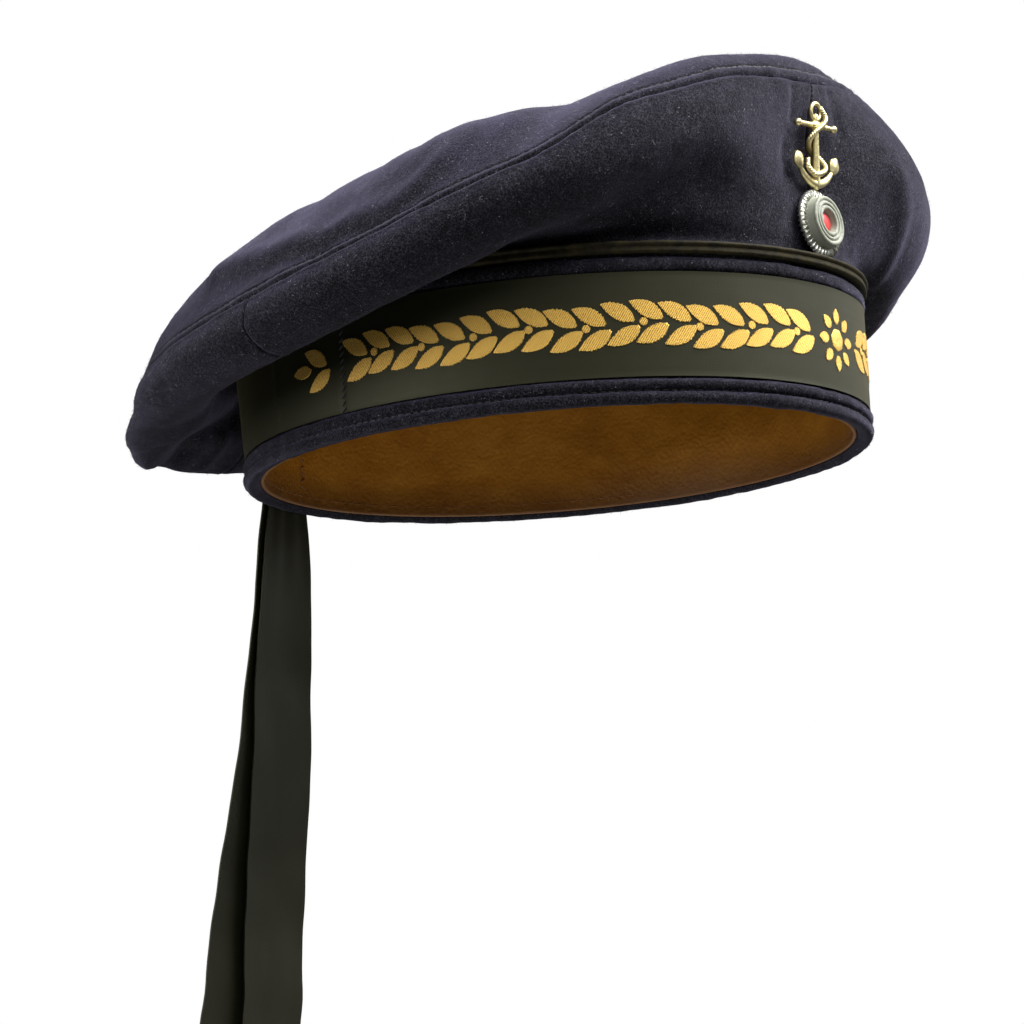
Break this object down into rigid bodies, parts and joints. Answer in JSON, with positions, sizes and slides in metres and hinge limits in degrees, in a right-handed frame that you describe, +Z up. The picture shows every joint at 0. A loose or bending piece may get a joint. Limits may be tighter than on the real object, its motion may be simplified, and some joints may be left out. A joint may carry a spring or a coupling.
{
  "type": "sailor cap with ribbon tails",
  "caption": "Sailor cap: soft dark wool crown tipped to the wearer's right over a stiff upright head band, ribbon round the band with two hanging tails, small anchor badge and round cockade.",
  "frame": {"origin": "centre of the head opening, on the plane of the band's bottom edge, where the head sits", "axes": "+Z up through the crown, -Y to the front of the cap, +X to the wearer's left"},
  "size_m": [0.2547, 0.2442, 0.3659],
  "materials": {
    "navy_wool": "matt napped melton wool, very dark navy",
    "black_ribbon": "black woven silk ribbon with a low sheen",
    "black_piping": "black waxed leather welt, satin",
    "tan_leather": "tan sheep leather, worn satin",
    "pale_gilt": "pale gilt metal with dark toning in the hollows",
    "silver_metal": "pressed silvery metal",
    "grey_metal": "dull grey pressed metal",
    "red_enamel": "red paint"
  },
  "bodies": {
    "root": {"crown_top": "navy_wool", "crown_front_right": "navy_wool", "crown_back_right": "navy_wool", "crown_front_left": "navy_wool", "crown_back_left": "navy_wool", "head_band": "navy_wool", "crown_piping": "black_piping", "tally_ribbon": "black_ribbon", "tally_knot": "black_ribbon", "tally_tail_right": "black_ribbon", "tally_tail_left": "black_ribbon", "sweatband": "tan_leather", "badge": "pale_gilt", "cockade_rim": "silver_metal", "cockade_ring": "grey_metal", "cockade_centre": "red_enamel"}
  },
  "joints": []
}
